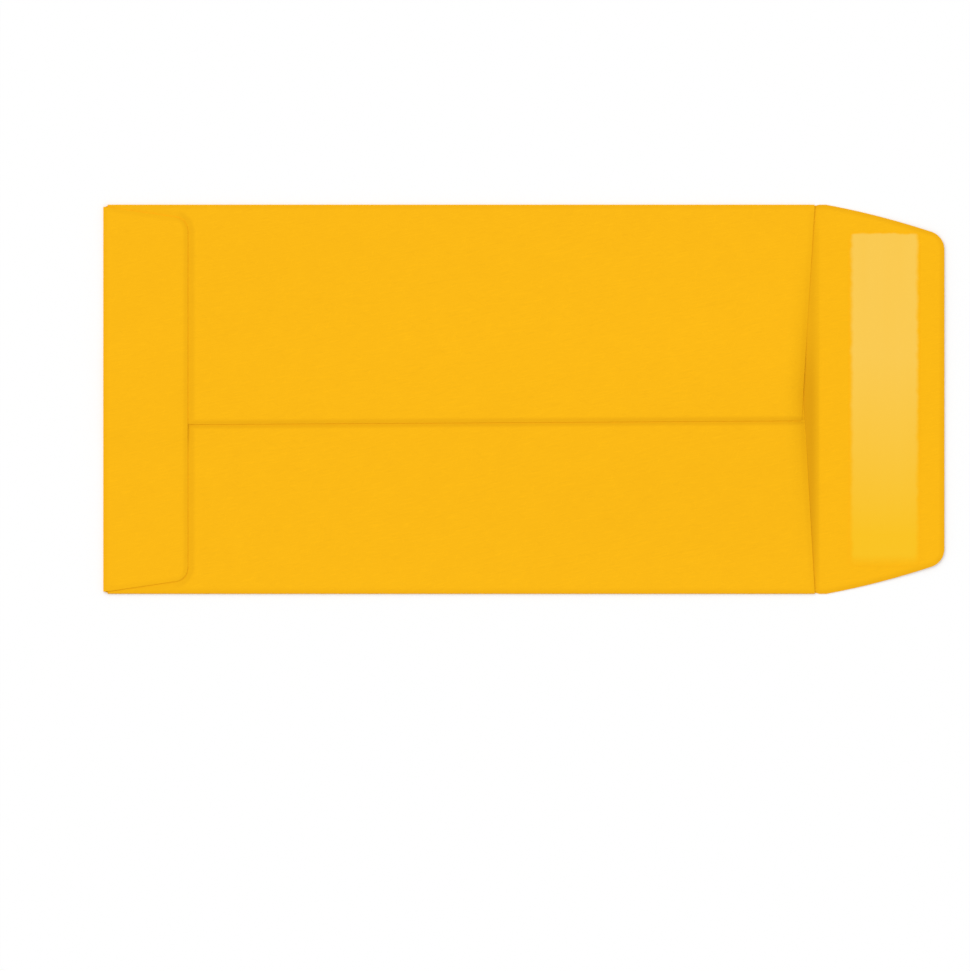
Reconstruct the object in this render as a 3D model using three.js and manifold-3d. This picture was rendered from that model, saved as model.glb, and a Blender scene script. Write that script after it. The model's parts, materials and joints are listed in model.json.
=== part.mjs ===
// Coin envelope of golden kraft paper, empty, lying on its front panel with the seal flap open.
//
// One die-cut blank makes the whole envelope. Its two side panels fold in over the front panel
// and overlap in a glued seam, and the bottom flap folds up over both and is glued down. The
// seal flap is the rest of the blank, and carries a band of dried gum on its inside. Each panel
// is laid out as the middle surface of the paper, and the welded blank is then given its
// thickness. Films of glue join the layers that they hold, so the folded sheet is one solid.
//
// Millimetres, +Z up, +X from the bottom fold to the seal flap. The origin is on the table,
// under the middle of the whole outline.

import * as THREE from "three";
import Module from "manifold-3d";
import { mergeVertices } from "three/addons/utils/BufferGeometryUtils.js";

// Paper and adhesives. The glue stays back from the edges of what it joins, and most at the throat.
const PAPER_THICKNESS = 0.15;
const GLUE_THICKNESS = 0.04;
const GLUE_MARGIN = 2;
const GLUE_THROAT_MARGIN = 6;
const GUM_THICKNESS = 0.04;

// Body, over its folds and up to the shoulders of the seal flap, whose crease lies a little short
// of them. The pocket stands slightly open at the throat.
const BODY_LENGTH = 165.1;
const BODY_WIDTH = 88.9;
const CREASE_SETBACK = 1.5;
const FOLD_GAP = 0.2;
const POCKET_RISE = 1.5;

// Side panels: how far the upper one reaches from its fold, how far the lower one reaches under
// it, and their cut ends
const UPPER_PANEL_REACH = 49.8;
const SEAM_OVERLAP = 11.1;
const PANEL_SETBACK = 1;
const THROAT_SETBACK = 1.1;
const UPPER_THROAT_DIP = 3.1;
const LOWER_THROAT_DIP = 2.9;

// Seam: its slant over the body, its free lip with the length over which that comes out from
// under the bottom flap, and the width over which the upper panel settles past the tucked one
const SEAM_SLANT = 1;
const SEAM_LIP = 2;
const SEAM_LIFT = 0.1;
const SEAM_RELEASE = 8;
const SEAM_SETTLE = 12;

// Bottom flap, with the width of the rise in it beside the seam
const SEAM_STEP = 2;
const BOTTOM_FLAP_LENGTH = 19.3;
const BOTTOM_FLAP_INSET = 0.5;
const BOTTOM_FLAP_TAPER = 2.8;
const BOTTOM_FLAP_CORNER = 2.6;
const BOTTOM_FLAP_LIP = 2.5;
const BOTTOM_FLAP_LIFT = 0.1;

// Seal flap past its shoulders. Its sides bow out, and it springs up a little from its crease.
const SEAL_FLAP_LENGTH = 27;
const SEAL_FLAP_TAPER = 7.2;
const SEAL_FLAP_BOW = 0.55;
const SEAL_FLAP_CORNER = 2.8;
const SEAL_FLAP_ANGLE = 0.4;
const SEAL_FLAP_CURL = 0.1;

// Gum band: its distances from the flap's crease, from its tip, and from its tapered sides
const GUM_SETBACK = 6.8;
const GUM_TIP_MARGIN = 5.6;
const GUM_SIDE_MARGIN = 1;

// Mesh fineness, in steps round a fold and round a flap's corner, and the width of a weld
const FOLD_STEPS = 6;
const CORNER_STEPS = 4;
const WELD = 1e-4;

// Sizes that follow from the ones above
const HALF_PAPER = PAPER_THICKNESS / 2;
const LAYER_PITCH = PAPER_THICKNESS + GLUE_THICKNESS;
const SIDE_FOLD_RADIUS = (PAPER_THICKNESS + FOLD_GAP) / 2;
const SIDE_CREASE = BODY_WIDTH / 2 - HALF_PAPER - SIDE_FOLD_RADIUS;
const BACK_LEVEL = HALF_PAPER + 2 * SIDE_FOLD_RADIUS;
const BOTTOM_FOLD_RADIUS = (BACK_LEVEL + LAYER_PITCH - HALF_PAPER) / 2;
const BOTTOM_CREASE = HALF_PAPER + BOTTOM_FOLD_RADIUS;
const CREASE = BODY_LENGTH - CREASE_SETBACK;
const THROAT_START = CREASE - THROAT_SETBACK;
const SEAM_MIDDLE = BODY_WIDTH / 2 - UPPER_PANEL_REACH;
const SEAM_START = SEAM_MIDDLE - SEAM_SLANT / 2;
const SEAM_END = SEAM_MIDDLE + SEAM_SLANT / 2;
const TUCKED_EDGE = SEAM_MIDDLE + SEAM_OVERLAP;
const BOTTOM_FLAP_REACH = BOTTOM_FLAP_LENGTH - BOTTOM_CREASE;
const BOTTOM_FLAP_ROOT = BODY_WIDTH / 2 - BOTTOM_FLAP_INSET;
const BOTTOM_FLAP_TIP = BOTTOM_FLAP_ROOT - BOTTOM_FLAP_TAPER - BOTTOM_FLAP_CORNER;
const SEAL_FLAP_TIP = BODY_WIDTH / 2 - SEAL_FLAP_TAPER - SEAL_FLAP_CORNER;
const SEAL_FLAP_REACH = SEAL_FLAP_LENGTH + CREASE_SETBACK;
const GUM_END = SEAL_FLAP_REACH - GUM_TIP_MARGIN;
const OVERALL_LENGTH = BODY_LENGTH + SEAL_FLAP_LENGTH;

const { lerp, clamp, smoothstep, degToRad } = THREE.MathUtils;
const wasm = await Module();
wasm.setup();

// Places along a line, in runs between stops, with the number of steps that each run takes.
function stations(stops, steps) {
  const run = (count, i) =>
    Array.from({ length: count }, (_, k) => lerp(stops[i], stops[i + 1], (k + 1) / count));
  return [stops[0], ...steps.flatMap(run)];
}

// The visible seam edge runs slightly off parallel, away from its own fold at the bottom.
function seamEdge(x) {
  return lerp(SEAM_START, SEAM_END, x / BODY_LENGTH);
}

// 1 over the tucked panel, falling to 0 where the upper panel is down beside its edge.
function besideTuckedEdge(y) {
  return 1 - smoothstep(y, TUCKED_EDGE, TUCKED_EDGE + SEAM_SETTLE);
}

// The pocket stands open most in the middle of the throat, and closes towards its folds.
function pocketRise(x, y) {
  const along = smoothstep(x, BOTTOM_FLAP_LENGTH, CREASE);
  const across = Math.max(0, 1 - (y / SIDE_CREASE) ** 2) ** 1.5;
  return POCKET_RISE * along * across;
}

// Height of the middle of the lower side panel, which is tucked under at the seam.
function lowerPanelHeight(x, y) {
  return BACK_LEVEL + pocketRise(x, y);
}

// Height of the middle of the upper side panel. Its lip is free, except under the bottom flap.
function upperPanelHeight(x, y) {
  const intoLip = clamp((seamEdge(x) + SEAM_LIP - y) / SEAM_LIP, 0, 1);
  const released = smoothstep(x, BOTTOM_FLAP_LENGTH, BOTTOM_FLAP_LENGTH + SEAM_RELEASE);
  const lift = SEAM_LIFT * released * intoLip ** 2;
  return lowerPanelHeight(x, y) + LAYER_PITCH * besideTuckedEdge(y) + lift;
}

// Height of the middle of the bottom flap, which rides over the seam in a low ridge.
function bottomFlapHeight(x, y) {
  const stepUp = smoothstep(y, SEAM_START - 2 * SEAM_STEP, SEAM_START - SEAM_STEP);
  const overSeam = Math.min(stepUp, besideTuckedEdge(y));
  const intoLip = clamp((x - BOTTOM_FLAP_LENGTH + BOTTOM_FLAP_LIP) / BOTTOM_FLAP_LIP, 0, 1);
  return lowerPanelHeight(x, y) + LAYER_PITCH * (1 + overSeam) + BOTTOM_FLAP_LIFT * intoLip ** 2;
}

// A point on the open seal flap: out from its crease, across it, and above its middle surface.
function sealFlapPoint(out, y, above) {
  const share = out / SEAL_FLAP_REACH;
  const tangent = Math.tan(degToRad(SEAL_FLAP_ANGLE));
  const rise = out * tangent + SEAL_FLAP_CURL * share ** 2;
  const slope = tangent + (2 * SEAL_FLAP_CURL * share) / SEAL_FLAP_REACH;
  const normal = new THREE.Vector3(slope, 0, -1).normalize();
  const middle = new THREE.Vector3(CREASE + out, y, HALF_PAPER + rise);
  return { point: middle.addScaledVector(normal, -above), normal };
}

// Half the width of a tapered flap with rounded corners, at a distance out from its root.
function flapHalfWidth(out, flapLength, root, taper, corner) {
  const intoCorner = clamp((out - flapLength + corner) / corner, 0, 1);
  return root - (taper * out) / flapLength - corner * (1 - Math.sqrt(1 - intoCorner ** 2));
}

// Distances out from a flap's crease: the given ones and the steps round its corners, in order.
function flapRows(distances, reach, corner) {
  const turns = stations([0, Math.PI / 2], [CORNER_STEPS]);
  const roundCorner = turns.map((turn) => reach - corner * (1 - Math.sin(turn)));
  return [...distances, ...roundCorner].sort((a, b) => a - b);
}

// The middle surface of the paper, welded from patches. Normals point out of its outside.
class Blank {
  vertices = [];
  faces = [];
  numbers = new Map();

  vertex({ point, normal }) {
    const place = point.toArray().map((value) => Math.round(value / WELD)).join();
    if (!this.numbers.has(place)) {
      this.numbers.set(place, this.vertices.length);
      this.vertices.push({ point, normal });
    }
    return this.numbers.get(place);
  }

  // A triangle, turned so that it faces the way that its vertices' normals point.
  triangle(a, b, c) {
    const [at, toB, toC] = [a, b, c].map((number) => this.vertices[number].point.clone());
    const facing = toB.sub(at).cross(toC.sub(at));
    const outward = this.vertices[a].normal.clone().add(this.vertices[c].normal);
    this.faces.push(facing.dot(outward) > 0 ? [a, b, c] : [a, c, b]);
  }

  // A grid of rows and columns, with vertexAt giving the point and normal where they cross.
  patch(rows, columns, vertexAt) {
    const grid = rows.map((row) => columns.map((column) => this.vertex(vertexAt(row, column))));
    for (let i = 1; i < rows.length; i++) {
      for (let j = 1; j < columns.length; j++) {
        this.triangle(grid[i - 1][j - 1], grid[i][j - 1], grid[i][j]);
        this.triangle(grid[i - 1][j - 1], grid[i][j], grid[i - 1][j]);
      }
    }
  }

  // The closed surface of the paper: its two faces, and a wall along each cut edge.
  thickened(thickness) {
    const count = this.vertices.length;
    const face = (way) =>
      this.vertices.map(({ point, normal }) =>
        point.clone().addScaledVector(normal, (way * thickness) / 2),
      );
    const index = this.faces.flatMap(([a, b, c]) => [a, b, c, c + count, b + count, a + count]);
    const edges = this.faces.flatMap(([a, b, c]) => [[a, b], [b, c], [c, a]]);
    const known = new Set(edges.map(([a, b]) => `${a},${b}`));
    const cut = edges.filter(([a, b]) => !known.has(`${b},${a}`));
    cut.forEach(([a, b]) => index.push(b, a, a + count, b, a + count, b + count));
    return surface([...face(1), ...face(-1)], index);
  }
}

function surface(points, index) {
  const geometry = new THREE.BufferGeometry().setFromPoints(points);
  geometry.setIndex(index);
  return geometry;
}

// A closed film over a grid, from its low side up to its high side.
function film(rows, columns, lowAt, highAt) {
  const grid = rows.flatMap((row) => columns.map((column) => [row, column]));
  const sides = [highAt, lowAt].flatMap((pointAt) => grid.map(([row, column]) => pointAt(row, column)));
  const count = grid.length;
  const number = (i, j) => i * columns.length + j;
  const [lastRow, lastColumn] = [rows.length - 1, columns.length - 1];
  const index = [];
  const quad = (a, b, c, d) => index.push(a, b, c, a, c, d);
  for (let i = 0; i < lastRow; i++) {
    for (let j = 0; j < lastColumn; j++) {
      const corners = [number(i, j), number(i + 1, j), number(i + 1, j + 1), number(i, j + 1)];
      const [a, b, c, d] = corners;
      quad(a, b, c, d);
      index.push(c + count, b + count, a + count, d + count, c + count, a + count);
      if (j === 0) quad(b, a, a + count, b + count);
      if (i === lastRow - 1) quad(c, b, b + count, c + count);
      if (j === lastColumn - 1) quad(d, c, c + count, d + count);
      if (i === 0) quad(a, d, d + count, a + count);
    }
  }
  return surface(sides, index);
}

// A point of a panel that faces up, from the height of its middle surface, with its normal.
function panelPoint(heightAt, x, y) {
  const step = 0.01;
  const slopeX = (heightAt(x + step, y) - heightAt(x - step, y)) / (2 * step);
  const slopeY = (heightAt(x, y + step) - heightAt(x, y - step)) / (2 * step);
  const normal = new THREE.Vector3(-slopeX, -slopeY, 1).normalize();
  return { point: new THREE.Vector3(x, y, heightAt(x, y)), normal };
}

// Shares of the way up the side folds, kept by the front panel and both side panels.
const BODY_ROWS = stations(
  [PANEL_SETBACK, BOTTOM_FLAP_LENGTH, BOTTOM_FLAP_LENGTH + SEAM_RELEASE, THROAT_START],
  [2, 1, 10],
).map((x) => (x - PANEL_SETBACK) / (THROAT_START - PANEL_SETBACK));

// Columns of the front panel and both end flaps, numbered from side to side. The two outer ones
// follow the outline.
const INNER_HALF = Math.min(BOTTOM_FLAP_TIP, SEAL_FLAP_TIP) - SIDE_FOLD_RADIUS;
const INNER_COLUMNS = stations(
  [
    -INNER_HALF,
    SEAM_START - 2 * SEAM_STEP,
    SEAM_START - SEAM_STEP,
    TUCKED_EDGE,
    TUCKED_EDGE + SEAM_SETTLE,
    INNER_HALF,
  ],
  [2, 1, 2, 3, 1],
);
const COLUMN_NUMBERS = Array.from({ length: INNER_COLUMNS.length + 2 }, (_, j) => j);

// Distances out from the seal flap's crease that the flap and its gum share.
const GUM_ROWS = stations([GUM_SETBACK, GUM_END], [4]);

function columnAt(number, halfWidth) {
  return [-halfWidth, ...INNER_COLUMNS, halfWidth][number];
}

function frontPanel(blank) {
  const rows = [
    [BOTTOM_CREASE, BOTTOM_FLAP_ROOT],
    ...BODY_ROWS.map((share) => [lerp(PANEL_SETBACK, THROAT_START, share), SIDE_CREASE]),
    [CREASE, BODY_WIDTH / 2],
  ];
  blank.patch(rows, COLUMN_NUMBERS, ([x, halfWidth], number) => ({
    point: new THREE.Vector3(x, columnAt(number, halfWidth), HALF_PAPER),
    normal: new THREE.Vector3(0, 0, -1),
  }));
}

// The rounded fold up one side of the body. side is 1 for the upper panel's and -1 for the other.
function sideFold(blank, side) {
  const turns = stations([0, Math.PI], [FOLD_STEPS]);
  blank.patch(BODY_ROWS, turns, (share, turn) => ({
    point: new THREE.Vector3(
      lerp(PANEL_SETBACK, THROAT_START, share),
      side * (SIDE_CREASE + SIDE_FOLD_RADIUS * Math.sin(turn)),
      HALF_PAPER + SIDE_FOLD_RADIUS * (1 - Math.cos(turn)),
    ),
    normal: new THREE.Vector3(0, side * Math.sin(turn), -Math.cos(turn)),
  }));
}

// A side panel from its fold to its seam edge. Its throat edge slants back towards the seam.
function sidePanel(blank, heightAt, columnsAt, throatDip) {
  const numbers = columnsAt(0).map((_, j) => j);
  blank.patch(BODY_ROWS, numbers, (share, number) => {
    const columns = columnsAt(lerp(PANEL_SETBACK, THROAT_START, share));
    const y = columns[number];
    const inFromFold = (y - columns[0]) / (columns.at(-1) - columns[0]);
    const x = lerp(PANEL_SETBACK, THROAT_START - throatDip * inFromFold, share);
    return panelPoint(heightAt, x, y);
  });
}

function upperPanel(blank) {
  const settled = TUCKED_EDGE + SEAM_SETTLE;
  const columnsAt = (x) =>
    stations(
      [SIDE_CREASE, settled, TUCKED_EDGE, seamEdge(x) + SEAM_LIP, seamEdge(x)],
      [5, 3, 2, 2],
    );
  sidePanel(blank, upperPanelHeight, columnsAt, UPPER_THROAT_DIP);
}

function lowerPanel(blank) {
  const columnsAt = () => stations([-SIDE_CREASE, SEAM_START, TUCKED_EDGE], [7, 2]);
  sidePanel(blank, lowerPanelHeight, columnsAt, LOWER_THROAT_DIP);
}

// The rounded fold along the bottom, taller where the seam's two layers lie in it.
function bottomFold(blank) {
  const turns = stations([0, Math.PI], [FOLD_STEPS]);
  blank.patch(turns, COLUMN_NUMBERS, (turn, number) => {
    const y = columnAt(number, BOTTOM_FLAP_ROOT);
    const halfHeight = (bottomFlapHeight(BOTTOM_CREASE, y) - HALF_PAPER) / 2;
    const [across, up] = [Math.sin(turn), Math.cos(turn)];
    return {
      point: new THREE.Vector3(
        BOTTOM_CREASE - BOTTOM_FOLD_RADIUS * across,
        y,
        HALF_PAPER + halfHeight * (1 - up),
      ),
      normal: new THREE.Vector3(-across * halfHeight, 0, -up * BOTTOM_FOLD_RADIUS).normalize(),
    };
  });
}

function bottomFlapHalfWidth(out) {
  const [root, taper] = [BOTTOM_FLAP_ROOT, BOTTOM_FLAP_TAPER];
  return flapHalfWidth(out, BOTTOM_FLAP_REACH, root, taper, BOTTOM_FLAP_CORNER);
}

function bottomFlap(blank) {
  const lipStart = BOTTOM_FLAP_REACH - BOTTOM_FLAP_LIP;
  const rows = flapRows(stations([0, lipStart], [4]), BOTTOM_FLAP_REACH, BOTTOM_FLAP_CORNER);
  blank.patch(rows, COLUMN_NUMBERS, (out, number) =>
    panelPoint(bottomFlapHeight, BOTTOM_CREASE + out, columnAt(number, bottomFlapHalfWidth(out))),
  );
}

function sealFlapHalfWidth(out) {
  const past = Math.max(0, out - CREASE_SETBACK);
  const share = past / SEAL_FLAP_LENGTH;
  const bow = 4 * SEAL_FLAP_BOW * share * (1 - share);
  const [root, taper] = [BODY_WIDTH / 2, SEAL_FLAP_TAPER];
  return flapHalfWidth(past, SEAL_FLAP_LENGTH, root, taper, SEAL_FLAP_CORNER) + bow;
}

function sealFlap(blank) {
  const beforeGum = [0, ...stations([CREASE_SETBACK, GUM_SETBACK], [2]).slice(0, -1)];
  const rows = flapRows([...beforeGum, ...GUM_ROWS], SEAL_FLAP_REACH, SEAL_FLAP_CORNER);
  blank.patch(rows, COLUMN_NUMBERS, (out, number) =>
    sealFlapPoint(out, columnAt(number, sealFlapHalfWidth(out)), 0),
  );
}

// Glue between the side panels, from near the bottom fold to short of the throat.
function seamGlue() {
  const shortOfThroat = THROAT_START - UPPER_THROAT_DIP - GLUE_THROAT_MARGIN;
  const rows = stations([PANEL_SETBACK + GLUE_MARGIN, BOTTOM_FLAP_LENGTH, shortOfThroat], [1, 10]);
  return film(
    rows,
    [SEAM_END + SEAM_LIP, TUCKED_EDGE - GLUE_MARGIN],
    (x, y) => new THREE.Vector3(x, y, lowerPanelHeight(x, y)),
    (x, y) => new THREE.Vector3(x, y, upperPanelHeight(x, y)),
  );
}

// Glue under the bottom flap, on one of the side panels, at the given places across it.
function bottomFlapGlue(panelHeight, columns) {
  return film(
    [PANEL_SETBACK + GLUE_MARGIN, BOTTOM_FLAP_LENGTH - BOTTOM_FLAP_LIP - GLUE_MARGIN],
    columns,
    (x, y) => new THREE.Vector3(x, y, panelHeight(x, y)),
    (x, y) => new THREE.Vector3(x, y, bottomFlapHeight(x, y)),
  );
}

// Joins closed surfaces into one solid.
function joined(geometries) {
  const solids = geometries.map((geometry) => {
    const merged = mergeVertices(geometry, WELD);
    const { array } = merged.attributes.position;
    const triVerts = new Uint32Array(merged.index.array);
    return new wasm.Manifold(new wasm.Mesh({ numProp: 3, vertProperties: array, triVerts }));
  });
  const mesh = solids.reduce((whole, solid) => whole.add(solid)).getMesh();
  const geometry = new THREE.BufferGeometry();
  geometry.setAttribute("position", new THREE.BufferAttribute(mesh.vertProperties, 3));
  geometry.setIndex(new THREE.BufferAttribute(mesh.triVerts, 1));
  return geometry;
}

function glue() {
  const acrossUpper = stations(
    [SEAM_START + GLUE_MARGIN, TUCKED_EDGE, TUCKED_EDGE + SEAM_SETTLE, BOTTOM_FLAP_TIP - GLUE_MARGIN],
    [1, 3, 1],
  );
  const acrossLower = [-BOTTOM_FLAP_TIP + GLUE_MARGIN, SEAM_START - 2 * SEAM_STEP - GLUE_MARGIN];
  return [
    seamGlue(),
    bottomFlapGlue(upperPanelHeight, acrossUpper),
    bottomFlapGlue(lowerPanelHeight, acrossLower),
  ];
}

function envelope() {
  const blank = new Blank();
  frontPanel(blank);
  sideFold(blank, 1);
  sideFold(blank, -1);
  upperPanel(blank);
  lowerPanel(blank);
  bottomFold(blank);
  bottomFlap(blank);
  sealFlap(blank);
  return joined([blank.thickened(PAPER_THICKNESS), ...glue()]);
}

// A dried band across the flap, on the face that is inside once the envelope is sealed.
function sealGum() {
  const halfLength = sealFlapHalfWidth(GUM_END) - GUM_SIDE_MARGIN;
  return film(
    GUM_ROWS,
    [-halfLength, halfLength],
    (out, y) => sealFlapPoint(out, y, HALF_PAPER).point,
    (out, y) => sealFlapPoint(out, y, HALF_PAPER + GUM_THICKNESS).point,
  );
}

function named(name, geometry, material) {
  const faceted = geometry.toNonIndexed();
  faceted.computeVertexNormals();
  const mesh = new THREE.Mesh(faceted, material);
  mesh.name = name;
  return mesh;
}

const kraft = new THREE.MeshStandardMaterial({ color: 0xfdb913, roughness: 0.72, metalness: 0 });
const driedGum = new THREE.MeshStandardMaterial({ color: 0xfaca4e, roughness: 0.3, metalness: 0 });

const coinEnvelope = new THREE.Group();
coinEnvelope.add(named("envelope", envelope(), kraft), named("seal_gum", sealGum(), driedGum));
coinEnvelope.position.x = -OVERALL_LENGTH / 2;

export default coinEnvelope;
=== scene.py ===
"""Coin envelope of golden kraft paper, lying seam side up with its seal flap open.

The sheet is modelled as it is made. A flat blank is laid out and cut into cells, each cell
corner is taken to its place on the folded envelope, and the paper then gets its thickness.
The dried gum is a thin film on the inside of the seal flap.
"""

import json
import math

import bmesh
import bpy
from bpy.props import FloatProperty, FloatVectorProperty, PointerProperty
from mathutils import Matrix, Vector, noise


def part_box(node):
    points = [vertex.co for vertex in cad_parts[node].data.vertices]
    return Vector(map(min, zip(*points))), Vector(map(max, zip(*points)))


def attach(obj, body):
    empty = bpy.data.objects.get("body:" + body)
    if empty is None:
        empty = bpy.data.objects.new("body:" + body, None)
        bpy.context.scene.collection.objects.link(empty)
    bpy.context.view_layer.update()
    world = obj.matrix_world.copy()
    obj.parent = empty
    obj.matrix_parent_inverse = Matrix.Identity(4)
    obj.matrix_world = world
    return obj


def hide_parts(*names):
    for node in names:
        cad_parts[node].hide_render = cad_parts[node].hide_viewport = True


bl_info = {
    "name": "Coin Envelope",
    "version": (1, 0, 0),
    "blender": (4, 5, 0),
    "location": "View3D > Sidebar > Envelope",
    "description": "Folds a coin envelope from its flat blank and lays it out for a picture",
    "category": "Add Mesh",
}

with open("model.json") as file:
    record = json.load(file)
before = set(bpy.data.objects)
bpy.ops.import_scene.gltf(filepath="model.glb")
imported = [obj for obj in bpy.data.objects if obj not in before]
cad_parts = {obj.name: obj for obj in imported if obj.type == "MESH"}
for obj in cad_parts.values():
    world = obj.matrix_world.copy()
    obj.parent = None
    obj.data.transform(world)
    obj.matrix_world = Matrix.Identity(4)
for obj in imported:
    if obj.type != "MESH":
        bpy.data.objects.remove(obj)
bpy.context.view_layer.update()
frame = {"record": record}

SHEET_LOW, SHEET_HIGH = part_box("envelope")
GUM_LOW, GUM_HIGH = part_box("seal_gum")
SLOTS = {material["slot"]: material for material in frame["record"]["materials"]}
MM = 0.001

# Where the photograph's frame shows the envelope, in pixels
IMAGE_SIZE = (970, 971)
BOTTOM_FOLD_PIXEL = 103.4
MIDDLE_LINE_PIXEL = 399.3
BODY_WIDTH_PIXELS = 389.1

# Steps round a fold and round a flap's corner, and how near two places count as one
FOLD_STEPS = 10
CORNER_STEPS = 8
NEAR = 1e-7

# Faces that meet at less than this angle are shaded as one smooth surface
SMOOTH_ANGLE = math.radians(35)

# How steeply the pocket's opening falls off from its middle to its folds
OPENING_POWER = 3

# The throat edge is fully pressed down where between_folds has reached this
FULL_PRESS = 0.3

# Highest value of share * (1 - share)**2, where the front panel swells most
SWELL_TOP = 4 / 27

# Softness of the lines of shade painted along edges, and where and how far an edge's own real
# shade, which is there already, makes its painted line fainter
LINE_SOFTNESS = 0.5 * MM
SHADE_MIDDLE = 0.12 * MM
SHADE_REACH = (0.05 * MM, 0.35 * MM)
LINE_IN_SHADE = 0.4

# Where the painted dark rim of shade along an edge starts to fade, and where it ends
RIM_REACH = (0.3 * MM, 1.5 * MM)


def length(name, description, millimetres):
    return FloatProperty(
        name=name,
        description=description,
        default=millimetres * MM,
        min=0,
        precision=5,
        unit="LENGTH",
    )


def colour(name, description, default):
    return FloatVectorProperty(
        name=name,
        description=description,
        default=default,
        min=0,
        max=1,
        subtype="COLOR",
    )


def fraction(name, description, default):
    return FloatProperty(
        name=name, description=description, default=default, min=0, max=1, subtype="FACTOR"
    )


def angle(name, description, degrees):
    return FloatProperty(
        name=name, description=description, default=math.radians(degrees), subtype="ANGLE"
    )


class EnvelopeSheet(bpy.types.PropertyGroup):
    """Sizes of the folded sheet."""

    paper: length("Paper", "Thickness of the paper", 0.15)
    glue: length("Glue", "Thickness of the glue between two layers", 0.04)
    fold_gap: length("Fold gap", "Free height inside a side fold", 0.2)
    body_length: length("Body length", "From the bottom fold to the shoulders", 165.1)
    crease_setback: length("Crease setback", "How far the crease is short of the shoulders", 1.5)
    panel_setback: length("Panel setback", "From the bottom fold to the side panels", 1.0)
    throat_setback: length("Throat setback", "From the crease to the side panels", 1.1)
    upper_dip: length("Upper dip", "How far the upper panel's throat edge slants back", 3.1)
    lower_dip: length("Lower dip", "How far the lower panel's throat edge slants back", 2.9)
    upper_reach: length("Upper reach", "From its fold to the seam edge", 49.8)
    seam_overlap: length("Seam overlap", "How far the lower panel goes under the upper", 11.1)
    seam_slant: length("Seam slant", "Drift of the seam edge over the body", 1.0)
    lip_press: length("Lip press", "How far free lips are pressed down past the glue", 0.03)
    seam_lip: length("Seam lip", "Free width of the seam edge", 2.0)
    seam_release: length("Seam release", "Length over which the lip leaves the bottom flap", 8.0)
    seam_settle: length("Seam settle", "Width over which the upper panel comes down", 12.0)
    seam_step: length("Seam step", "Width of the rise in the bottom flap", 6.0)
    seam_gap: length("Seam gap", "From the top of that rise to the seam edge", 0.6)
    flap_length: length("Bottom flap", "Length of the bottom flap", 19.3)
    flap_inset: length("Bottom flap inset", "From the side fold to the bottom flap", 0.5)
    flap_taper: length("Bottom flap taper", "Narrowing of each side of the bottom flap", 2.8)
    flap_corner: length("Bottom flap corner", "Radius of the bottom flap's corners", 2.6)
    flap_lip: length("Bottom flap lip", "Free width of the bottom flap's edge", 2.5)
    seal_length: length("Seal flap", "From the shoulders to the tip", 27.0)
    seal_taper: length("Seal flap taper", "Narrowing of each side of the seal flap", 7.2)
    seal_bow: length("Seal flap bow", "Outward bow of the seal flap's sides", 0.55)
    seal_corner: length("Seal flap corner", "Radius of the seal flap's corners", 2.8)
    seal_curl: length("Seal flap curl", "Extra rise at the tip of the seal flap", 0.1)
    seal_angle: angle("Seal flap angle", "Spring of the open flap up from its crease", 0.4)
    pocket_rise: length("Pocket rise", "How far the middle of the throat stands open", 1.5)
    throat_roll: length("Throat roll", "How far the middle of the throat edge rolls down", 1.15)
    throat_press: length("Throat press", "How far the whole throat edge is pressed down", 0.12)
    throat_roll_reach: length("Throat roll reach", "Width of that roll", 4.0)
    crease_swell: length("Crease swell", "Rise of the front panel behind the crease", 0.35)
    crease_swell_reach: length("Crease swell reach", "How far back that rise goes", 12.0)
    cockle: length("Cockle", "Height of the paper's slow waves", 0.15)
    cockle_span: length("Cockle span", "Distance between the paper's slow waves", 38.0)
    cell: length("Cell", "Size of a cell of the mesh", 1.5)
    fine_cell: length("Fine cell", "Size of a cell where the sheet bends most", 0.375)


class PaperColourAndShade(bpy.types.PropertyGroup):
    """Colours of the paper, and how dark the shade painted into it along its edges, seam and
    crease is.
    """

    kraft: colour("Kraft", "Colour of the paper", SLOTS["kraft_paper"]["base_color"])
    # Colour of the shade painted into the paper, where that shade is darkest
    pressed: colour("Pressed kraft", "Its colour where it is darkest", (0.706, 0.32, 0.004))
    # How dark the painted shade is along the seam, the bottom flap's end and sides, the folds, the
    # throat edge and the seal flap's edges, and behind the crease
    seam_shade: fraction("Seam line", "Darkness along the seam", 0.36)
    flap_end_shade: fraction("Flap end line", "Darkness along the bottom flap's end", 0.25)
    flap_side_shade: fraction("Flap side line", "Darkness along the bottom flap's sides", 0.12)
    fold_shade: fraction("Fold rim", "Darkness along the folds", 0.2)
    throat_edge_shade: fraction("Throat rim", "Darkness along the throat edge", 0.12)
    seal_edge_shade: fraction("Seal flap rim", "Darkness along the edges of the seal flap", 0.3)
    scored: fraction("Scored", "Darkness behind the scored crease", 0.76)
    tone_spread: fraction("Tone spread", "How far its tone strays to both sides", 0.045)
    grain_height: length("Grain", "Height of the paper's grain and fibres", 0.02)


class GumBand(bpy.types.PropertyGroup):
    """Sizes and colours of the dried gum."""

    thickness: length("Thickness", "Thickness of the dried gum", 0.04)
    corner: length("Corner", "Radius of the band's corners", 1.5)
    cell: length("Cell", "Size of a cell of the mesh", 1.0)
    # The gum's colour at the end where its painted sheen is strongest, and then where it is
    # weakest
    tint: colour("Gum", "Colour of the dried gum", SLOTS["dried_gum"]["base_color"])
    tint_without_sheen: colour("Thin gum", "Colour of the gum where it is thin", (0.956, 0.545, 0.006))


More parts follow.
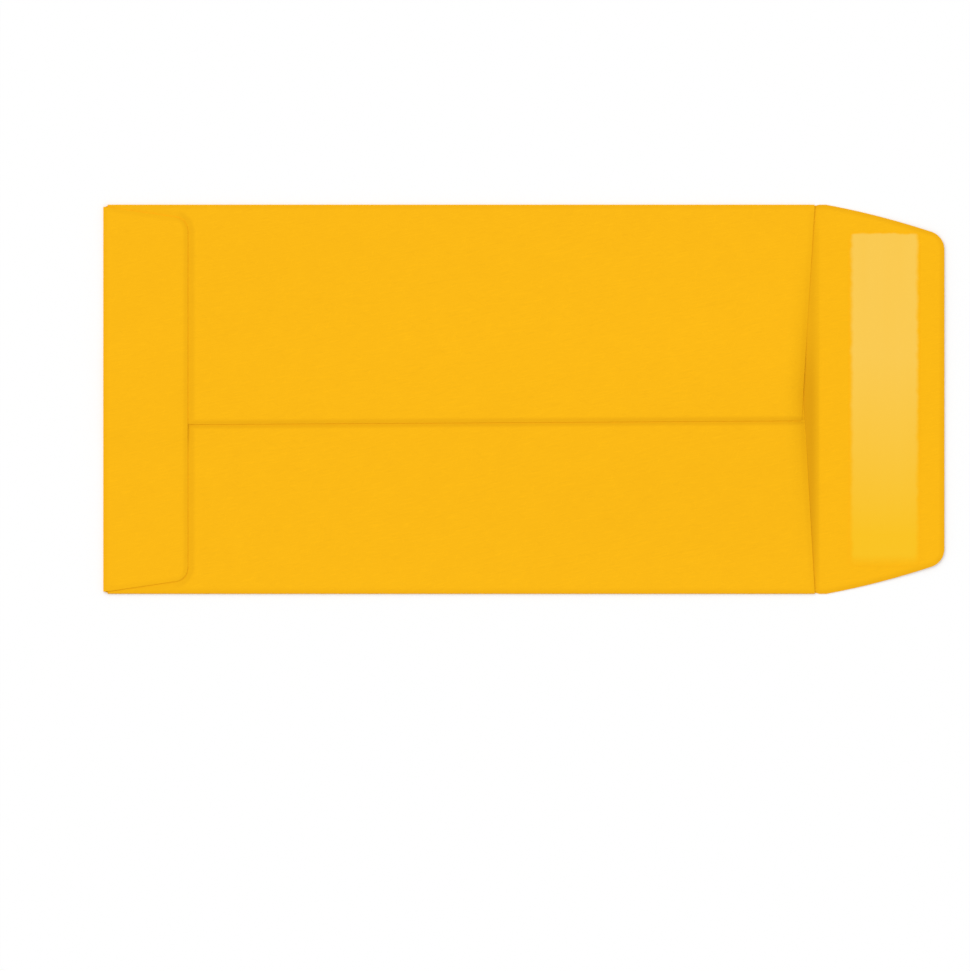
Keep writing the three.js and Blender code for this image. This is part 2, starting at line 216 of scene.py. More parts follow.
class EnvelopeStage(bpy.types.PropertyGroup):
    """Floor, light and camera."""

    floor_size: FloatProperty(
        name="Floor size",
        description="Width of the floor",
        default=8,
        unit="LENGTH",
    )
    floor_gap: length("Floor gap", "Air between the floor and the envelope", 0.02)
    floor_grey: fraction("Floor grey", "How much light the floor gives back", 0.85)
    fill: fraction("Fill", "Share of the light that comes from all round", 0.7)
    key_tilt: angle("Key tilt", "Angle of the key light from straight above", 40)
    key_bearing: angle("Key bearing", "Side it comes from, turned from the envelope's length", 130)
    key_softness: angle("Key softness", "Width of the key light as the envelope sees it", 60)
    lens: FloatProperty(
        name="Lens",
        description="Focal length, long enough to flatten the view",
        default=200,
        subtype="DISTANCE_CAMERA",
    )


def lerp(start, end, share):
    return start + (end - start) * share


def clamp(value):
    return max(0.0, min(1.0, value))


def smoothstep(value, start, end):
    share = clamp((value - start) / (end - start))
    return share * share * (3 - 2 * share)


def arch(share):
    """0 at both ends and 1 halfway, for a number or a socket."""
    return 4 * share * (1 - share)


class FoldedForm:
    """Where each point of the flat blank lies once the envelope is folded.

    Distances along the envelope start at the bottom fold. Heights are those of the middle of
    the paper.
    """

    def __init__(self, sizes):
        self.sizes = sizes
        self.half_paper = sizes.paper / 2
        self.half_width = (SHEET_HIGH.y - SHEET_LOW.y) / 2
        self.layer = sizes.paper + sizes.glue
        self.side_radius = (sizes.paper + sizes.fold_gap) / 2
        self.side_crease = self.half_width - self.half_paper - self.side_radius
        self.back_level = self.half_paper + 2 * self.side_radius
        self.bottom_radius = (self.back_level + self.layer - self.half_paper) / 2
        self.bottom_crease = self.half_paper + self.bottom_radius
        self.crease = sizes.body_length - sizes.crease_setback
        self.throat = self.crease - sizes.throat_setback
        seam_middle = self.half_width - sizes.upper_reach
        self.seam_start = seam_middle - sizes.seam_slant / 2
        self.seam_end = seam_middle + sizes.seam_slant / 2
        self.tucked_edge = seam_middle + sizes.seam_overlap
        self.ridge_foot = self.seam_start - sizes.seam_gap - sizes.seam_step
        self.flap_root = self.half_width - sizes.flap_inset
        self.flap_reach = sizes.flap_length - self.bottom_crease
        self.seal_reach = sizes.seal_length + sizes.crease_setback

    def seam_edge(self, x):
        return lerp(self.seam_start, self.seam_end, x / self.sizes.body_length)

    def beside_tucked_edge(self, y):
        return 1 - smoothstep(y, self.tucked_edge, self.tucked_edge + self.sizes.seam_settle)

    def between_folds(self, y):
        """1 in the middle, and 0 at both side folds."""
        return max(0.0, 1 - (y / self.side_crease) ** 2)

    def opening(self, y):
        """How far the pocket stands open, as a share of its middle."""
        return self.between_folds(y) ** OPENING_POWER

    def wave(self, x, y):
        """Slow waves of the paper, the same in all layers of the back."""
        place = Vector((x, y, 0)) / self.sizes.cockle_span
        return self.sizes.cockle * noise.noise(place)

    def throat_roll(self, x, y):
        """How far the back has rolled down near its throat edge."""
        dip = (self.sizes.upper_dip + self.sizes.lower_dip) / 2
        edge = self.throat - dip * (1 - abs(y) / self.side_crease)
        into_roll = max(0.0, 1 - (edge - x) / self.sizes.throat_roll_reach)
        pressed = self.sizes.throat_press * smoothstep(self.between_folds(y), 0, FULL_PRESS)
        return (self.sizes.throat_roll * self.opening(y) + pressed) * into_roll**2

    def front_height(self, x, y):
        """The front panel lies flat, and swells a little behind the scored crease."""
        behind = clamp((self.crease - x) / self.sizes.crease_swell_reach)
        swell = behind * (1 - behind) ** 2 / SWELL_TOP
        return self.half_paper + self.sizes.crease_swell * swell * self.between_folds(y)

    def lower_height(self, x, y):
        """The lower side panel. The pocket stands open most in the middle of the throat."""
        along = smoothstep(x, self.sizes.flap_length, self.crease)
        rise = self.sizes.pocket_rise * along * self.opening(y)
        waves = self.wave(x, y) * self.between_folds(y)
        return self.back_level + rise + waves - self.throat_roll(x, y)

    def upper_height(self, x, y):
        """The upper side panel. Its lip is pressed down, except under the bottom flap."""
        sizes = self.sizes
        into_lip = clamp((self.seam_edge(x) + sizes.seam_lip - y) / sizes.seam_lip)
        released = smoothstep(x, sizes.flap_length, sizes.flap_length + sizes.seam_release)
        pressed = sizes.lip_press * released * into_lip**2
        return self.lower_height(x, y) + self.layer * self.beside_tucked_edge(y) - pressed

    def flap_height(self, x, y):
        """The bottom flap, which rides over the seam in a low ridge."""
        sizes = self.sizes
        step_up = smoothstep(y, self.ridge_foot, self.ridge_foot + sizes.seam_step)
        over_seam = min(step_up, self.beside_tucked_edge(y))
        into_lip = clamp((x - sizes.flap_length + sizes.flap_lip) / sizes.flap_lip)
        pressed = sizes.lip_press * into_lip**2
        return self.lower_height(x, y) + self.layer * (1 + over_seam) - pressed

    def seal_height(self, out, y):
        """The open seal flap, at a distance out from its crease."""
        share = out / self.seal_reach
        spring = out * math.tan(self.sizes.seal_angle) + self.sizes.seal_curl * share**2
        waves = (self.wave(self.crease + out, y) + self.sizes.cockle / 2) * share
        return self.half_paper + spring + waves

    def tapered(self, out, reach, taper, corner):
        """How far the side of a tapered flap with round corners has come in."""
        into_corner = clamp((out - reach + corner) / corner)
        return taper * out / reach + corner * (1 - math.sqrt(1 - into_corner**2))

    def flap_half_width(self, out):
        sizes = self.sizes
        return self.flap_root - self.tapered(
            out, self.flap_reach, sizes.flap_taper, sizes.flap_corner
        )

    def seal_half_width(self, out):
        sizes = self.sizes
        past = max(0.0, out - sizes.crease_setback)
        bow = sizes.seal_bow * arch(past / sizes.seal_length)
        drawn_in = self.tapered(past, sizes.seal_length, sizes.seal_taper, sizes.seal_corner)
        return self.half_width + bow - drawn_in

    def on_side_panel(self, u, v):
        """A point past a side fold. The rows fan towards the slanted throat edge."""
        sizes = self.sizes
        side = math.copysign(1, v)
        past_crease = abs(v) - self.side_crease
        fold_length = math.pi * self.side_radius
        if past_crease <= fold_length:
            turn = past_crease / self.side_radius
            y = side * (self.side_crease + self.side_radius * math.sin(turn))
            return Vector((u, y, self.half_paper + self.side_radius * (1 - math.cos(turn))))
        upper = side > 0
        share = (past_crease - fold_length) / self.panel_reach(side)
        dip = (sizes.upper_dip if upper else sizes.lower_dip) * share
        fan = (self.throat - dip - sizes.panel_setback) / (self.throat - sizes.panel_setback)
        x = sizes.panel_setback + (u - sizes.panel_setback) * fan
        far_edge = self.seam_edge(x) if upper else self.tucked_edge
        y = lerp(side * self.side_crease, far_edge, share)
        return Vector((x, y, self.upper_height(x, y) if upper else self.lower_height(x, y)))

    def panel_reach(self, side):
        """Width of a side panel, from its fold to its free edge halfway along."""
        if side > 0:
            return self.side_crease - (self.seam_start + self.seam_end) / 2
        return self.side_crease + self.tucked_edge

    def on_bottom_flap(self, u, v):
        past_crease = self.bottom_crease - u
        fold_length = math.pi * self.bottom_radius
        if past_crease <= fold_length:
            turn = past_crease / self.bottom_radius
            half_height = (self.flap_height(self.bottom_crease, v) - self.half_paper) / 2
            x = self.bottom_crease - self.bottom_radius * math.sin(turn)
            return Vector((x, v, self.half_paper + half_height * (1 - math.cos(turn))))
        out = past_crease - fold_length
        y = v * self.flap_half_width(out) / self.flap_root
        x = self.bottom_crease + out
        return Vector((x, y, self.flap_height(x, y)))

    def on_seal_flap(self, u, v):
        out = u - self.crease
        y = v * self.seal_half_width(out) / self.half_width
        return Vector((u, y, self.seal_height(out, y)))

    def place(self, flat):
        """Where a point of the flat blank lies on the folded envelope."""
        u, v = flat.x, flat.y
        beside_front = abs(v) > self.side_crease + NEAR and u < self.throat + NEAR
        if u < self.bottom_crease - NEAR:
            point = self.on_bottom_flap(u, v)
        elif u > self.crease + NEAR:
            point = self.on_seal_flap(u, v)
        elif beside_front and u > self.sizes.panel_setback - NEAR:
            point = self.on_side_panel(u, v)
        else:
            point = Vector((u, v, self.front_height(u, v)))
        return point + Vector((SHEET_LOW.x, 0, 0))


def start_plane(name, low, high):
    """Adds a flat piece between two corners and leaves it in edit mode, with edges selectable."""
    if bpy.context.object and bpy.context.object.mode != "OBJECT":
        bpy.ops.object.mode_set(mode="OBJECT")
    bpy.ops.object.select_all(action="DESELECT")
    bpy.ops.mesh.primitive_plane_add(size=1, location=(0, 0, 0))
    piece = bpy.context.object
    piece.name = name
    piece.data.name = name
    bpy.ops.object.mode_set(mode="EDIT")
    bpy.ops.mesh.select_mode(type="EDGE")
    bpy.ops.transform.resize(value=(high[0] - low[0], high[1] - low[1], 1))
    middle = [(a + b) / 2 for a, b in zip(low, high)]
    bpy.ops.transform.translate(value=(middle[0], middle[1], 0))
    return piece


def select_edges(test):
    """Selects just those edges of the piece in edit mode whose two ends pass a test."""
    mesh = bpy.context.edit_object.data
    cells = bmesh.from_edit_mesh(mesh)
    for face in cells.faces:
        face.select_set(False)
    for edge in cells.edges:
        edge.select_set(False)
    for edge in cells.edges:
        if test(*(corner.co for corner in edge.verts)):
            edge.select_set(True)
    bmesh.update_edit_mesh(mesh)


def select_line(axis, place, low=-math.inf, high=math.inf):
    """Selects the edges that lie along a line across one axis, between two places along it."""

    def on_line(a, b):
        along = 1 - axis
        inside = min(a[along], b[along]) > low - NEAR and max(a[along], b[along]) < high + NEAR
        return inside and abs(a[axis] - place) < NEAR and abs(b[axis] - place) < NEAR

    select_edges(on_line)


def extrude_strips(axis, widths):
    """Extrudes the selected edges along one axis, once for each width."""
    for width in widths:
        step = [0, 0, 0]
        step[axis] = width
        bpy.ops.mesh.extrude_region_move(TRANSFORM_OT_translate={"value": step})


def cut_at(axis, place):
    """Cuts all cells along a line across one axis."""
    bpy.ops.mesh.select_all(action="SELECT")
    point = [0, 0, 0]
    point[axis] = place
    normal = [0, 0, 0]
    normal[axis] = 1
    bpy.ops.mesh.bisect(plane_co=point, plane_no=normal)


def divide(axis, start, end, parts):
    """Divides each cell between two lines into equal parts along one axis."""

    def crosses(a, b):
        low, high = sorted((a[axis], b[axis]))
        return abs(low - start) < NEAR and abs(high - end) < NEAR

    if parts > 1:
        select_edges(crosses)
        bpy.ops.mesh.subdivide_edgering(
            number_cuts=parts - 1, interpolation="LINEAR", smoothness=0
        )


def divide_run(axis, stops, cell):
    """Divides the cells between each two stops into parts of about one cell's size."""
    for start, end in zip(stops, stops[1:]):
        divide(axis, start, end, max(1, round((end - start) / cell)))


def running_total(start, steps):
    places = [start]
    for step in steps:
        places.append(places[-1] + step)
    return places


def thicken(piece, thickness, offset):
    """Gives a sheet its thickness."""
    bpy.ops.object.mode_set(mode="OBJECT")
    wall = piece.modifiers.new("thickness", "SOLIDIFY")
    wall.thickness = thickness
    wall.offset = offset
    wall.use_even_offset = True
    wall.material_offset = len(piece.data.materials) - 1
    bpy.ops.object.modifier_apply(modifier=wall.name)
    bpy.ops.object.shade_smooth_by_angle(angle=SMOOTH_ANGLE)


def lay_out_blank(form):
    """Cuts the flat blank: the front panel, and the panels and flaps that grow out of it."""
    sizes = form.sizes
    piece = start_plane(
        "envelope_sheet",
        (form.bottom_crease, -form.side_crease),
        (form.crease, form.side_crease),
    )
    ridge_top = form.ridge_foot + sizes.seam_step
    roll_start = form.throat - sizes.throat_roll_reach - sizes.throat_setback
    rows = [
        form.bottom_crease,
        sizes.panel_setback,
        sizes.flap_length,
        sizes.flap_length + sizes.seam_release,
        roll_start,
        form.throat,
        form.crease,
    ]
    columns = [-form.side_crease, form.ridge_foot, ridge_top, form.side_crease]
    for place in rows[1:-1]:
        cut_at(0, place)
    for place in columns[1:-1]:
        cut_at(1, place)
    cell = sizes.cell
    fine_cell = sizes.fine_cell
    divide_run(1, columns[:2], cell)
    divide_run(1, columns[1:3], fine_cell)
    divide_run(1, columns[2:], cell)

    select_line(0, form.bottom_crease)
    bpy.ops.transform.resize(value=(1, form.flap_root / form.side_crease, 1))
    bottom_fold = math.pi * form.bottom_radius
    bottom_body = form.flap_reach - max(sizes.flap_lip, sizes.flap_corner)
    bottom_strips = [bottom_fold, bottom_body, form.flap_reach - bottom_body]
    extrude_strips(0, [-width for width in bottom_strips])

    select_line(0, form.crease)
    bpy.ops.transform.resize(value=(1, form.half_width / form.side_crease, 1))
    seal_body = form.seal_reach - sizes.crease_setback - sizes.seal_corner
    seal_strips = [sizes.crease_setback, seal_body, sizes.seal_corner]
    extrude_strips(0, seal_strips)

    fold = math.pi * form.side_radius
    side_strips = {}
    for side in (1, -1):
        reach = form.panel_reach(side)
        side_strips[side] = [fold, reach - sizes.seam_lip, sizes.seam_lip]
        select_line(1, side * form.side_crease, sizes.panel_setback, form.throat)
        extrude_strips(1, [side * width for width in side_strips[side]])

    divide_run(0, rows[:5], cell)
    divide_run(0, rows[4:], fine_cell)

    places = running_total(form.bottom_crease, [-width for width in bottom_strips])
    divide(0, places[1], places[0], FOLD_STEPS)
    divide_run(0, [places[2], places[1]], cell)
    for place in corner_rows(places[3], places[2]):
        cut_at(0, place)

    places = running_total(form.crease, seal_strips)
    divide_run(0, places[:2], fine_cell)
    divide_run(0, places[1:3], cell)
    for place in corner_rows(places[3], places[2]):
        cut_at(0, place)

    for side, strips in side_strips.items():
        places = running_total(side * form.side_crease, [side * width for width in strips])
        divide(1, *sorted(places[:2]), FOLD_STEPS)
        divide_run(1, sorted(places[1:3]), cell)
        divide_run(1, sorted(places[2:]), fine_cell)
    return piece


def corner_rows(tip, start):
    """Places of the rows through a flap's rounded corners, closer towards the tip."""
    turns = [math.pi / 2 * step / CORNER_STEPS for step in range(1, CORNER_STEPS)]
    return [lerp(start, tip, math.sin(turn)) for turn in turns]


def fold_blank(piece, form):
    """Takes every corner of the flat blank's cells to its place on the folded envelope."""
    bpy.ops.mesh.select_all(action="SELECT")
    bpy.ops.mesh.flip_normals()
    bpy.ops.object.mode_set(mode="OBJECT")
    for corner in piece.data.vertices:
        corner.co = form.place(corner.co)


class Socket:
    """An output of a shader node that can be used in Python sums."""

    def __init__(self, shader, output):
        self.shader = shader
        self.output = output

    def maths(self, operation, *others):
        inputs = dict(enumerate((self, *others)))
        return self.shader.add("ShaderNodeMath", {"operation": operation}, inputs)

    def __add__(self, other):
        return self.maths("ADD", other)

    def __sub__(self, other):
        return self.maths("SUBTRACT", other)

    def __rsub__(self, other):
        return self * -1 + other

    def __mul__(self, other):
        return self.maths("MULTIPLY", other)

    def __abs__(self):
        return self.maths("ABSOLUTE")

    def at_least(self, other):
        return self.maths("MAXIMUM", other)

    def at_most(self, other):
        return self.maths("MINIMUM", other)

    __radd__ = __add__
    __rmul__ = __mul__


class Shader:
    """A material or world that is built node by node."""

    def __init__(self, block, output_kind):
        self.block = block
        block.use_nodes = True
        self.tree = block.node_tree
        self.tree.nodes.clear()
        self.output = self.tree.nodes.new(output_kind)

    def add(self, kind, settings=None, inputs=None, output=0):
        """Adds a node, with its settings first and then the values or links of its inputs."""
        node = self.tree.nodes.new(kind)
        for name, value in (settings or {}).items():
            setattr(node, name, value)
        for key, value in (inputs or {}).items():
            if isinstance(value, Socket):
                self.tree.links.new(value.output, node.inputs[key])
            else:
                node.inputs[key].default_value = value
        return Socket(self, node.outputs[output])

    def finish(self, surface):
        self.tree.links.new(surface.output, self.output.inputs["Surface"])
        return self.block

    def place(self):
        return self.add("ShaderNodeTexCoord", output="Object")

    def coordinates(self):
        place = self.place()
        return [
            self.add("ShaderNodeSeparateXYZ", inputs={0: place}, output=axis) for axis in "XYZ"
        ]

    def noise(self, place, scale, detail=2, roughness=0.5, drawn_out=1, turn=0):
        """Noise with so many features to the metre, drawn out in one direction of the sheet."""
        turned = self.add(
            "ShaderNodeMapping",
            {"vector_type": "TEXTURE"},
            {"Vector": place, "Rotation": (0, 0, turn), "Scale": (drawn_out, 1, 1)},
        )
        return self.add(
            "ShaderNodeTexNoise",
            inputs={"Vector": turned, "Scale": scale, "Detail": detail, "Roughness": roughness},
        )

    def ease(self, value, start, end):
        """0 before start and 1 after end, with a soft passage between them."""
        return self.add(
            "ShaderNodeMapRange",
            {"interpolation_type": "SMOOTHSTEP"},
            {"Value": value, "From Min": start, "From Max": end},
        )

    def past_corner(self, past_end, past_side, corner):
        """How far a place lies past the edge of a flap with a rounded corner."""
        into_end = (past_end + corner).at_least(0)
        into_side = (past_side + corner).at_least(0)
        return (into_end * into_end + into_side * into_side).maths("SQRT") - corner

    def painted_shade_line(self, past_edge, middle, reach):
        """A soft line of shade painted along an edge, fainter just past it, where the edge casts
        real shade.
        """
        from_middle = abs(past_edge - middle)
        line = 1 - self.ease(from_middle, reach - LINE_SOFTNESS, reach + LINE_SOFTNESS)
        in_light = self.ease(abs(past_edge - SHADE_MIDDLE), *SHADE_REACH)
        return line * (in_light * (1 - LINE_IN_SHADE) + LINE_IN_SHADE)

    def rim(self, from_edge):
        """1 along an edge, and 0 a little way in from it."""
        return 1 - self.ease(from_edge, *RIM_REACH)

    def blend(self, share, first, second):
        """A colour between two others."""
        return self.add(
            "ShaderNodeMix",
            {"data_type": "RGBA"},
            {0: share, 6: first, 7: second},
            output=2,
        )


def tinted(tint, factor=1.0):
    """A colour made darker or lighter by a factor, as a node's colour value."""
    return (*(min(1.0, part * factor) for part in tint), 1)


def kraft_surface(shader, finish, painted_shade=0.0):
    """Golden kraft paper: cloudy and fibrous, and darker where shade is painted in."""
    place = shader.place()
    clouds = shader.noise(place, scale=160, detail=3)
    grain = shader.noise(place, scale=3200, detail=2, roughness=0.7)

    # Fibres lie three ways, and the most marked of each stand out pale or dark
    along = shader.noise(place, scale=4200, detail=1, drawn_out=12, turn=0.2)
    across = shader.noise(place, scale=4600, detail=1, drawn_out=10, turn=1.3)
    askew = shader.noise(place, scale=4400, detail=1, drawn_out=11, turn=-0.6)
    pale = shader.ease(along, 0.56, 0.7) + shader.ease(across, 0.6, 0.74)
    dark = shader.ease(askew, 0.6, 0.74) + shader.ease(along, 0.4, 0.27)

    tone = 0.2 + clouds * 0.4 + grain * 0.2 + pale * 0.35 - dark * 0.35
    low = tinted(finish.kraft, 1 - finish.tone_spread)
    high = tinted(finish.kraft, 1 + finish.tone_spread)
    # Painted shade blends the paper's colour towards the colour of its darkest painted shade
    base = shader.blend(painted_shade, shader.blend(tone, low, high), tinted(finish.pressed))
    height = grain * 0.4 + (along + across + askew) * 0.3
    bump = shader.add(
        "ShaderNodeBump",
        inputs={"Strength": 0.25, "Distance": finish.grain_height, "Height": height},
    )
    return shader.add(
        "ShaderNodeBsdfPrincipled",
        inputs={
            "Base Color": base,
            "Roughness": 0.66 + grain * 0.12,
            "Specular IOR Level": 0.04,
            "Normal": bump,
        },
    )


def kraft_outside(form, finish):
    """The outside, with shade painted along its folds and throat edge, and along the seam and
    bottom flap's edges.
    """
    sizes = form.sizes
    shader = Shader(bpy.data.materials.new("kraft_outside"), "ShaderNodeOutputMaterial")
    x, y, z = shader.coordinates()
    x = x - SHEET_LOW.x

    past_end = x - sizes.flap_length
    # Painted shade along the seam edge, from the bottom flap's end on
    past_seam = form.seam_start + x * (sizes.seam_slant / sizes.body_length) - y
    seam = shader.painted_shade_line(past_seam, middle=0, reach=0.9 * MM) * finish.seam_shade
    seam = seam * shader.ease(past_end, -0.5 * MM, 0.5 * MM)

    # Painted shade along the bottom flap's edge, strongest at its end
    past_side = abs(y) + x * (sizes.flap_taper / sizes.flap_length) - form.flap_root
    past_flap = shader.past_corner(past_end, past_side, sizes.flap_corner)
    at_end = shader.ease(past_end, -3 * MM, -0.5 * MM)
    strength = at_end * (finish.flap_end_shade - finish.flap_side_shade) + finish.flap_side_shade
    flap = shader.painted_shade_line(past_flap, middle=0.3 * MM, reach=1.2 * MM) * strength

    # Painted shade along the throat edge
    dip = (sizes.upper_dip + sizes.lower_dip) / 2
    from_throat = form.throat - dip - x + abs(y) * (dip / form.side_crease)
    throat = shader.rim(from_throat) * finish.throat_edge_shade

    # The underside gets none of these lines, also where it swells and where the flap springs up
    swell_start = form.crease - sizes.crease_swell_reach
    swell = shader.ease(x, swell_start, swell_start + sizes.crease_swell_reach / 2)
    across = y * (1 / form.side_crease)
    front = (1 - across * across) * swell * sizes.crease_swell
    on_back = shader.ease(z - front, 0.05 * MM, 0.15 * MM)
    on_back = on_back * (1 - shader.ease(x, form.throat, form.crease))

    # Painted shade along the bottom fold and the side folds
    fold = shader.rim(x.at_most(form.half_width - abs(y))) * finish.fold_shade
    painted_shade = (seam.at_least(flap).at_least(throat) * on_back).at_least(fold)
    return shader.finish(kraft_surface(shader, finish, painted_shade))


def kraft_inside(form, finish):
    """The inside, with shade painted from the throat to the scored crease and along the seal
    flap's edges.
    """
    sizes = form.sizes
    shader = Shader(bpy.data.materials.new("kraft_inside"), "ShaderNodeOutputMaterial")
    x, y, _ = shader.coordinates()
    x = x - SHEET_LOW.x

    # Shade painted in the pocket's mouth, darkest close behind the crease, fading out 6 to 14 mm
    # behind it, and paler at both folds
    behind = form.crease - x
    strip = shader.ease(behind, -0.2 * MM, 0.4 * MM) * 0.3 + shader.ease(behind, 0, 2 * MM) * 0.7
    strip = strip * (1 - shader.ease(behind, 6 * MM, 14 * MM))
    across = 1 - shader.ease(y, 0, 18 * MM) * 0.45 - shader.ease(abs(y), 36 * MM, 44 * MM) * 0.6
    scored = strip * across * finish.scored

    # Painted shade along the edges of the seal flap
    past_tip = x - (sizes.body_length + sizes.seal_length)
    out = ((x - sizes.body_length) * (1 / sizes.seal_length)).at_least(0)
    bow = arch(out) * sizes.seal_bow
    past_side = abs(y) - form.half_width - bow + out * sizes.seal_taper
    from_edge = shader.past_corner(past_tip, past_side, sizes.seal_corner) * -1
    rim = shader.rim(from_edge) * finish.seal_edge_shade
    return shader.finish(kraft_surface(shader, finish, rim.at_least(scored)))


def gum_material(gum, finish):
    """Dried gum: a satin film, thin at its edges, with a painted sheen that makes it paler towards
    one end.
    """
    shader = Shader(bpy.data.materials.new("dried_gum"), "ShaderNodeOutputMaterial")
    place = shader.place()
    x, y, _ = shader.coordinates()
    uneven = shader.noise(place, scale=420, detail=2)
    streaks = shader.noise(place, scale=300, detail=2, drawn_out=16, turn=math.pi / 2)

    # The edges wander a little and thin out, over the longest stretch at the end where the painted
    # sheen is weakest
    middle = (GUM_LOW + GUM_HIGH) / 2
    half = (GUM_HIGH - GUM_LOW) / 2
    wander = (uneven - 0.5) * (0.9 * MM)
    from_side = half.x - abs(x - middle.x) + wander
    from_start = half.y - (y - middle.y) + wander
    from_end = half.y + (y - middle.y) + wander
    inside = shader.ease(from_side, 0, 1.2 * MM) * shader.ease(from_start, 0, 0.6 * MM)
    cover = inside * shader.ease(from_end, 0, 3 * MM) * (0.84 + streaks * 0.2)

    # A painted sheen: the gum's colour goes from its tint without sheen at one end to its paler
    # tint
    painted_sheen = shader.add(
        "ShaderNodeMapRange",
        inputs={"Value": y, "From Min": -31 * MM, "From Max": 10 * MM},
    )
    bump = shader.add(
        "ShaderNodeBump",
        inputs={"Strength": 0.3, "Distance": 0.03 * MM, "Height": uneven + streaks},
    )
    film = shader.add(
        "ShaderNodeBsdfPrincipled",
        inputs={
            "Base Color": shader.blend(painted_sheen, tinted(gum.tint_without_sheen), tinted(gum.tint)),
            "Roughness": 0.3 + uneven * 0.15,
            "Specular IOR Level": 0.18,
            "Normal": bump,
        },
    )
    surface = shader.add(
        "ShaderNodeMixShader",
        inputs={0: cover, 1: kraft_surface(shader, finish), 2: film},
    )
    return shader.finish(surface)


def floor_material(grey):
    """A pale matt floor that shows white to the camera, and keeps its shadows."""
    shader = Shader(bpy.data.materials.new("floor"), "ShaderNodeOutputMaterial")
    matt = shader.add("ShaderNodeBsdfDiffuse", inputs={"Color": (grey, grey, grey, 1)})
    seen = sum(
        shader.add("ShaderNodeLightPath", output=f"Is {kind} Ray")
        for kind in ("Camera", "Glossy", "Transmission")
    )
    lift = shader.add("ShaderNodeEmission", inputs={"Strength": seen * (1 - grey)})
    return shader.finish(shader.add("ShaderNodeAddShader", inputs={0: matt, 1: lift}))


class ENVELOPE_OT_fold_sheet(bpy.types.Operator):
    """Cut the flat blank, fold it into the envelope and give the paper its thickness"""

    bl_idname = "envelope.fold_sheet"
    bl_label = "Fold Sheet"
    bl_options = {"REGISTER", "UNDO"}

    def execute(self, context):
        sizes = context.scene.envelope_sheet
        form = FoldedForm(sizes)
        piece = lay_out_blank(form)
        fold_blank(piece, form)
        finish = context.scene.paper_finish
        piece.data.materials.append(kraft_outside(form, finish))
        piece.data.materials.append(kraft_inside(form, finish))
        thicken(piece, sizes.paper, 0)
        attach(piece, "root")
        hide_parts("envelope")
        return {"FINISHED"}


class ENVELOPE_OT_lay_gum(bpy.types.Operator):
    """Lay the film of dried gum on the inside of the seal flap"""

    bl_idname = "envelope.lay_gum"
    bl_label = "Lay Gum"
    bl_options = {"REGISTER", "UNDO"}

    def execute(self, context):
        gum = context.scene.gum_band
        form = FoldedForm(context.scene.envelope_sheet)
        piece = start_plane("gum_band", GUM_LOW, GUM_HIGH)
        bpy.ops.mesh.select_all(action="SELECT")
        bpy.ops.mesh.bevel(offset=gum.corner, segments=CORNER_STEPS, affect="VERTICES")
        for axis in (0, 1):
            parts = round((GUM_HIGH[axis] - GUM_LOW[axis]) / gum.cell)
            for step in range(1, parts):
                cut_at(axis, lerp(GUM_LOW[axis], GUM_HIGH[axis], step / parts))
        bpy.ops.object.mode_set(mode="OBJECT")
        for corner in piece.data.vertices:
            out = corner.co.x - SHEET_LOW.x - form.crease
            corner.co.z = form.seal_height(out, corner.co.y) + form.half_paper
        piece.data.materials.append(gum_material(gum, context.scene.paper_finish))
        thicken(piece, gum.thickness, 1)
        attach(piece, "root")
        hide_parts("seal_gum")
        return {"FINISHED"}


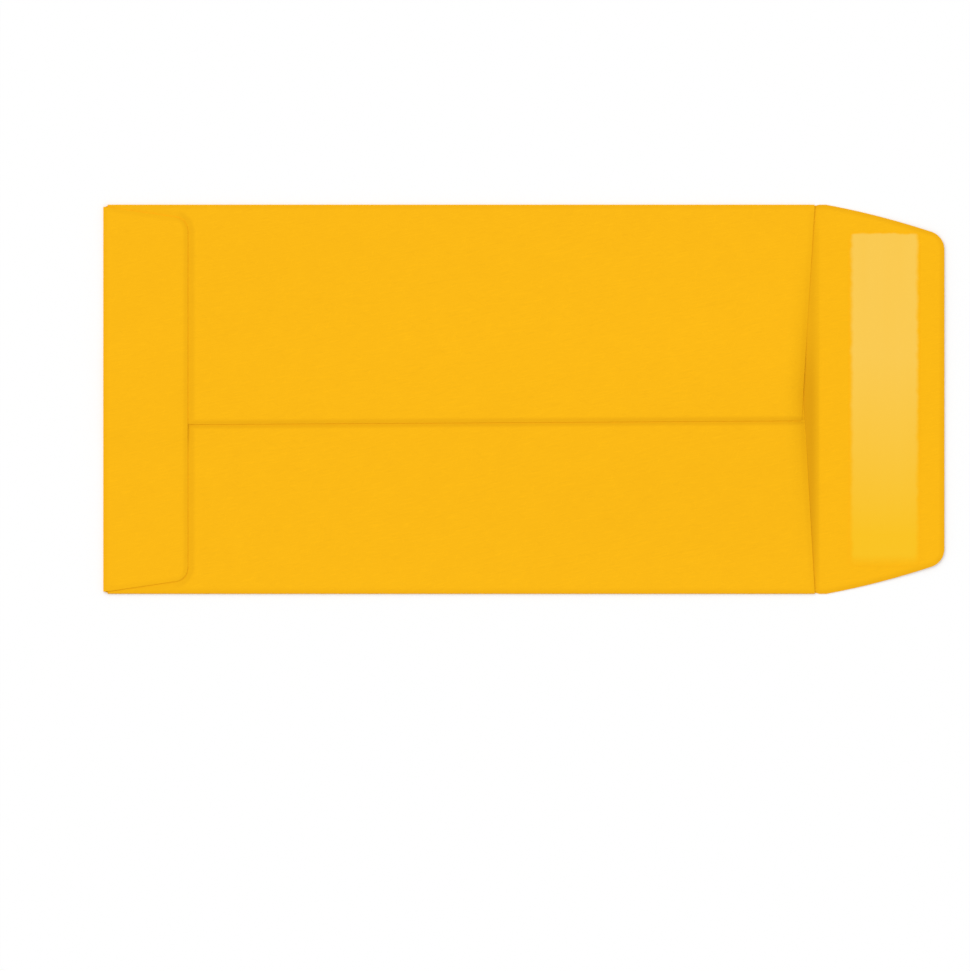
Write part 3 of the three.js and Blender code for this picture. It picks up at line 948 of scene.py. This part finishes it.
class ENVELOPE_OT_set_stage(bpy.types.Operator):
    """Set the floor, the soft light and the camera straight above the envelope"""

    bl_idname = "envelope.set_stage"
    bl_label = "Set Stage"
    bl_options = {"REGISTER", "UNDO"}

    def execute(self, context):
        stage = context.scene.envelope_stage
        context.scene.view_settings.view_transform = "Standard"
        self.lay_floor(stage)
        self.set_light(context.scene, stage)
        self.place_camera(context.scene, stage)
        return {"FINISHED"}

    def lay_floor(self, stage):
        half = stage.floor_size / 2
        floor = start_plane("floor", (-half, -half), (half, half))
        bpy.ops.transform.translate(value=(0, 0, -stage.floor_gap))
        bpy.ops.object.mode_set(mode="OBJECT")
        floor.data.materials.append(floor_material(stage.floor_grey))

    def set_light(self, scene, stage):
        """The key and the fill together give a level sheet a brightness of 1."""
        bpy.ops.object.light_add(type="SUN", location=(-1, 1, 1))
        key = bpy.context.object
        key.name = "key_light"
        key.data.energy = (1 - stage.fill) * math.pi / math.cos(stage.key_tilt)
        key.data.angle = stage.key_softness
        towards = Vector(
            (
                math.sin(stage.key_tilt) * math.cos(stage.key_bearing),
                math.sin(stage.key_tilt) * math.sin(stage.key_bearing),
                math.cos(stage.key_tilt),
            )
        )
        key.rotation_euler = towards.to_track_quat("Z", "Y").to_euler()
        scene.world = bpy.data.worlds.new("soft_fill")
        sky = Shader(scene.world, "ShaderNodeOutputWorld")
        seen = sky.add("ShaderNodeLightPath", output="Is Camera Ray")
        strength = seen * (1 - stage.fill) + stage.fill
        sky.finish(sky.add("ShaderNodeBackground", inputs={0: (1, 1, 1, 1), 1: strength}))

    def place_camera(self, scene, stage):
        scale = (SHEET_HIGH.y - SHEET_LOW.y) / BODY_WIDTH_PIXELS
        x = SHEET_LOW.x + (IMAGE_SIZE[0] / 2 - BOTTOM_FOLD_PIXEL) * scale
        y = (MIDDLE_LINE_PIXEL - IMAGE_SIZE[1] / 2) * scale
        bpy.ops.object.camera_add(location=(x, y, 0), rotation=(0, 0, 0))
        camera = bpy.context.object
        camera.name = "camera"
        camera.data.lens = stage.lens
        camera.location.z = max(IMAGE_SIZE) * scale * stage.lens / camera.data.sensor_width
        camera.data.clip_end = 2 * stage.floor_size
        scene.camera = camera


class ENVELOPE_PT_sidebar(bpy.types.Panel):
    """Lists the sizes, the colours and the steps"""

    bl_label = "Coin Envelope"
    bl_space_type = "VIEW_3D"
    bl_region_type = "UI"
    bl_category = "Envelope"

    def draw(self, context):
        scene = context.scene
        steps = (
            ((scene.envelope_sheet, scene.paper_finish), ENVELOPE_OT_fold_sheet),
            ((scene.gum_band,), ENVELOPE_OT_lay_gum),
            ((scene.envelope_stage,), ENVELOPE_OT_set_stage),
        )
        for groups, step in steps:
            box = self.layout.box()
            for group in groups:
                for name in group.__annotations__:
                    box.prop(group, name)
            box.operator(step.bl_idname)


CLASSES = (
    EnvelopeSheet,
    PaperColourAndShade,
    GumBand,
    EnvelopeStage,
    ENVELOPE_OT_fold_sheet,
    ENVELOPE_OT_lay_gum,
    ENVELOPE_OT_set_stage,
    ENVELOPE_PT_sidebar,
)


def register():
    for item in CLASSES:
        bpy.utils.register_class(item)
    bpy.types.Scene.envelope_sheet = PointerProperty(type=EnvelopeSheet)
    bpy.types.Scene.paper_finish = PointerProperty(type=PaperColourAndShade)
    bpy.types.Scene.gum_band = PointerProperty(type=GumBand)
    bpy.types.Scene.envelope_stage = PointerProperty(type=EnvelopeStage)


def unregister():
    del bpy.types.Scene.envelope_stage
    del bpy.types.Scene.gum_band
    del bpy.types.Scene.paper_finish
    del bpy.types.Scene.envelope_sheet
    for item in reversed(CLASSES):
        bpy.utils.unregister_class(item)


def main():
    register()
    bpy.ops.envelope.fold_sheet()
    bpy.ops.envelope.lay_gum()
    bpy.ops.envelope.set_stage()


if __name__ == "__main__":
    main()
